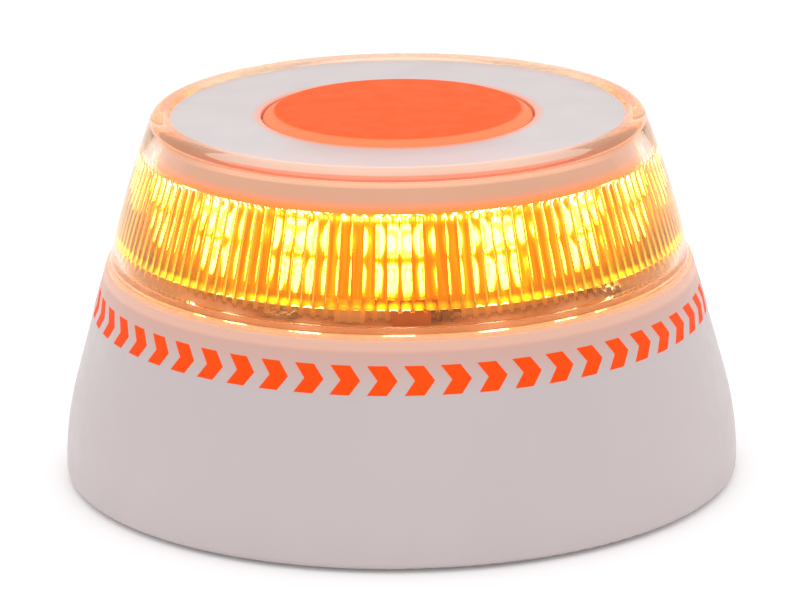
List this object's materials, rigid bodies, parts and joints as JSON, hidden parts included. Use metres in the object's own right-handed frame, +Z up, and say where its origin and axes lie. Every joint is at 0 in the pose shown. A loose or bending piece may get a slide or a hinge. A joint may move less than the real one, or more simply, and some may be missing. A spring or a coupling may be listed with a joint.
{
  "type": "led safety flare",
  "caption": "Magnetic roof beacon with a white flared base, a row of orange chevrons, a clear fluted lens over lit amber LEDs and a large orange push button.",
  "frame": {"origin": "centre of the plane that the rubber foot rests on", "axes": "+Z up through the push button; the front, with the ribbon connector behind the lens, faces -Y"},
  "size_m": [0.1, 0.1, 0.0547],
  "materials": {
    "shell_white": "satin translucent white moulding",
    "arrow_orange": "orange print",
    "lens_clear": "clear polycarbonate, polished",
    "cap_white": "satin white",
    "drum_white": "satin white",
    "platform_tan": "satin white, lit amber",
    "connector_brown": "satin",
    "button_orange": "satin orange",
    "cover_grey": "fine spark texture",
    "rubber_black": "matte",
    "seal_grey": "matte",
    "screw_steel": "zinc plated",
    "contact_steel": "nickel plated",
    "magnet_nickel": "nickel plated",
    "board_green": "solder mask",
    "flex_amber": "amber film",
    "chip_black": "moulded epoxy",
    "shield_tin": "tinned can",
    "cell_wrap": "plain dark sleeve",
    "capacitor_sleeve": "plain sleeve",
    "ceramic_tan": "fired ceramic",
    "ribbon_white": "film",
    "led_amber": "lit amber LED"
  },
  "bodies": {
    "housing": {"base_shell": "shell_white", "chevron_band": "arrow_orange", "bottom_cover": "cover_grey", "cover_screws": "screw_steel", "rubber_foot": "rubber_black", "battery_tray": "drum_white", "tray_screws": "screw_steel", "battery_cells": "cell_wrap", "flat_contacts": "contact_steel", "leaf_contacts": "contact_steel", "main_board": "board_green", "board_screws": "screw_steel", "modem_module": "shield_tin", "board_chips": "chip_black", "capacitors": "capacitor_sleeve", "network_antenna": "board_green", "ribbon_sockets": "connector_brown", "ribbon_cable": "ribbon_white", "lens_dome": "lens_clear", "lens_seal": "seal_grey", "led_platform": "platform_tan", "platform_screws": "screw_steel", "led_drum": "drum_white", "drum_screws": "screw_steel", "led_flex": "flex_amber", "upper_leds": "led_amber", "lower_leds": "led_amber", "flex_connector": "connector_brown", "inner_cap": "cap_white", "top_board": "board_green", "top_board_screws": "screw_steel", "tact_switch": "chip_black", "satellite_antenna": "ceramic_tan", "return_spring": "contact_steel", "stem_seal": "seal_grey"},
    "button": {"push_button": "button_orange"},
    "plunger": {"switch_plunger": "ribbon_white"},
    "door": {"battery_door": "cover_grey", "door_seal": "seal_grey", "door_screws": "screw_steel", "magnet": "magnet_nickel", "magnet_plate": "contact_steel"}
  },
  "joints": [
    {"name": "button_press", "type": "slide", "parent": "housing", "child": "button", "axis": [0, 0, -1], "range_m": [0, 0.0012], "stiffness_N_per_m": 900, "springref_m": -0.0015, "deforming": ["return_spring"]},
    {"name": "plunger_press", "type": "slide", "parent": "housing", "child": "plunger", "axis": [0, 0, -1], "range_m": [0, 0.0012]},
    {"name": "door_lift", "type": "slide", "parent": "housing", "child": "door", "axis": [0, 0, -1], "range_m": [0, 0.02]}
  ],
  "couplings": [
    {"joint": "plunger_press", "follows": "button_press", "ratio": 1}
  ]
}
